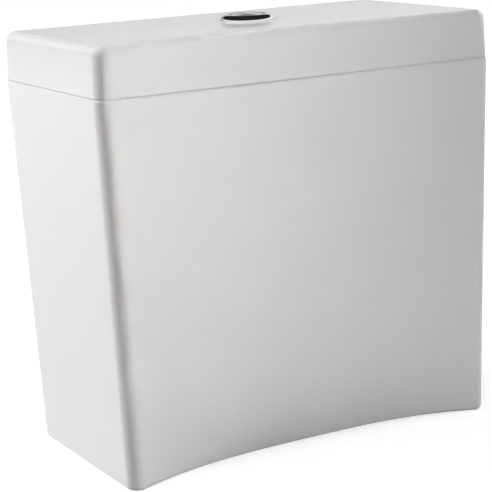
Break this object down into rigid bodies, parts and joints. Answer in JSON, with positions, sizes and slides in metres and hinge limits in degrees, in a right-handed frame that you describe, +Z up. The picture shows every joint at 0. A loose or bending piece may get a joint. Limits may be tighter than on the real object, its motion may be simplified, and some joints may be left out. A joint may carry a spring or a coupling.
{
  "type": "toilet cistern",
  "caption": "White ceramic close-coupled toilet cistern with lift-off lid, round chrome dual-flush push button, flush valve and float fill valve.",
  "frame": {"origin": "middle of the width and of the rim's depth, on the plane of the foot rim", "axes": "+Z up, +X across the width to the right seen from the front, front towards -Y, back at +Y"},
  "size_m": [0.39, 0.199, 0.38],
  "materials": {
    "ceramic": "gloss white glaze",
    "chrome": "polished plating",
    "spring_steel": "drawn stainless steel",
    "white_plastic": "moulded",
    "grey_plastic": "moulded",
    "blue_plastic": "moulded",
    "green_plastic": "moulded",
    "yellow_plastic": "moulded",
    "rubber": "soft moulded",
    "seal_rubber": "soft moulded",
    "brass": "turned"
  },
  "bodies": {
    "tank": {"tank_body": "ceramic", "valve_base": "white_plastic", "base_gasket": "rubber", "back_nut": "grey_plastic", "coupling_seal": "rubber", "valve_tower": "white_plastic", "tower_head": "grey_plastic", "lever_pin": "spring_steel", "fill_shank": "white_plastic", "shank_gasket": "rubber", "shank_nut": "grey_plastic", "inlet_strainer": "grey_plastic", "riser_tube": "white_plastic", "lock_collar": "blue_plastic", "fill_head": "white_plastic", "head_cap": "grey_plastic", "arm_pin": "spring_steel", "coupling_bolts": "brass", "bolt_seals": "rubber", "bolt_washers": "spring_steel", "bolt_nuts": "brass"},
    "lid": {"tank_lid": "ceramic", "button_bezel": "chrome", "button_washer": "rubber", "button_ring_nut": "grey_plastic", "full_key_spring": "spring_steel", "half_key_spring": "spring_steel"},
    "full_key": {"full_flush_key": "chrome", "full_push_rod": "white_plastic"},
    "half_key": {"half_flush_key": "chrome", "half_push_rod": "white_plastic"},
    "valve_core": {"overflow_tube": "white_plastic", "valve_seal": "seal_rubber", "full_flush_float": "blue_plastic", "lifting_crown": "grey_plastic"},
    "full_lever": {"full_flush_lever": "green_plastic"},
    "half_lever": {"half_flush_lever": "yellow_plastic"},
    "half_float": {"half_flush_stem": "yellow_plastic", "half_flush_float": "blue_plastic"},
    "fill_float": {"float_cup": "blue_plastic", "float_link": "grey_plastic"},
    "fill_arm": {"float_arm": "green_plastic"}
  },
  "joints": [
    {"name": "lid_lift", "type": "slide", "parent": "tank", "child": "lid", "axis": [0, 0, 1], "range_m": [0, 0.1]},
    {"name": "full_key_press", "type": "slide", "parent": "lid", "child": "full_key", "axis": [0, 0, -1], "range_m": [0, 0.005], "stiffness_N_per_m": 300, "springref_m": -0.003, "deforming": ["full_key_spring"]},
    {"name": "half_key_press", "type": "slide", "parent": "lid", "child": "half_key", "axis": [0, 0, -1], "range_m": [0, 0.005], "stiffness_N_per_m": 300, "springref_m": -0.003, "deforming": ["half_key_spring"]},
    {"name": "full_lever_turn", "type": "hinge", "parent": "tank", "child": "full_lever", "pos_m": [0, 0.0045, 0.302], "axis": [0, 1, 0], "range_deg": [0, 24.2]},
    {"name": "core_lift", "type": "slide", "parent": "tank", "child": "valve_core", "axis": [0, 0, 1], "range_m": [0, 0.00902]},
    {"name": "half_lever_turn", "type": "hinge", "parent": "tank", "child": "half_lever", "pos_m": [0, -0.0045, 0.302], "axis": [0, -1, 0], "range_deg": [0, 24.2]},
    {"name": "half_float_lift", "type": "slide", "parent": "tank", "child": "half_float", "axis": [0, 0, 1], "range_m": [0, 0.00902]},
    {"name": "fill_float_rise", "type": "slide", "parent": "tank", "child": "fill_float", "axis": [0, 0, 1], "range_m": [0, 0.012]},
    {"name": "fill_arm_turn", "type": "hinge", "parent": "tank", "child": "fill_arm", "pos_m": [-0.119, 0.008, 0.302], "axis": [0, -1, 0], "range_deg": [0, 20.33]}
  ],
  "couplings": [
    {"joint": "full_lever_turn", "follows": "full_key_press", "rad_per_m": 84.455},
    {"joint": "core_lift", "follows": "full_key_press", "ratio": 1.8033},
    {"joint": "half_lever_turn", "follows": "half_key_press", "rad_per_m": 84.455},
    {"joint": "half_float_lift", "follows": "half_key_press", "ratio": 1.8033},
    {"joint": "fill_arm_turn", "follows": "fill_float_rise", "rad_per_m": 29.567}
  ]
}
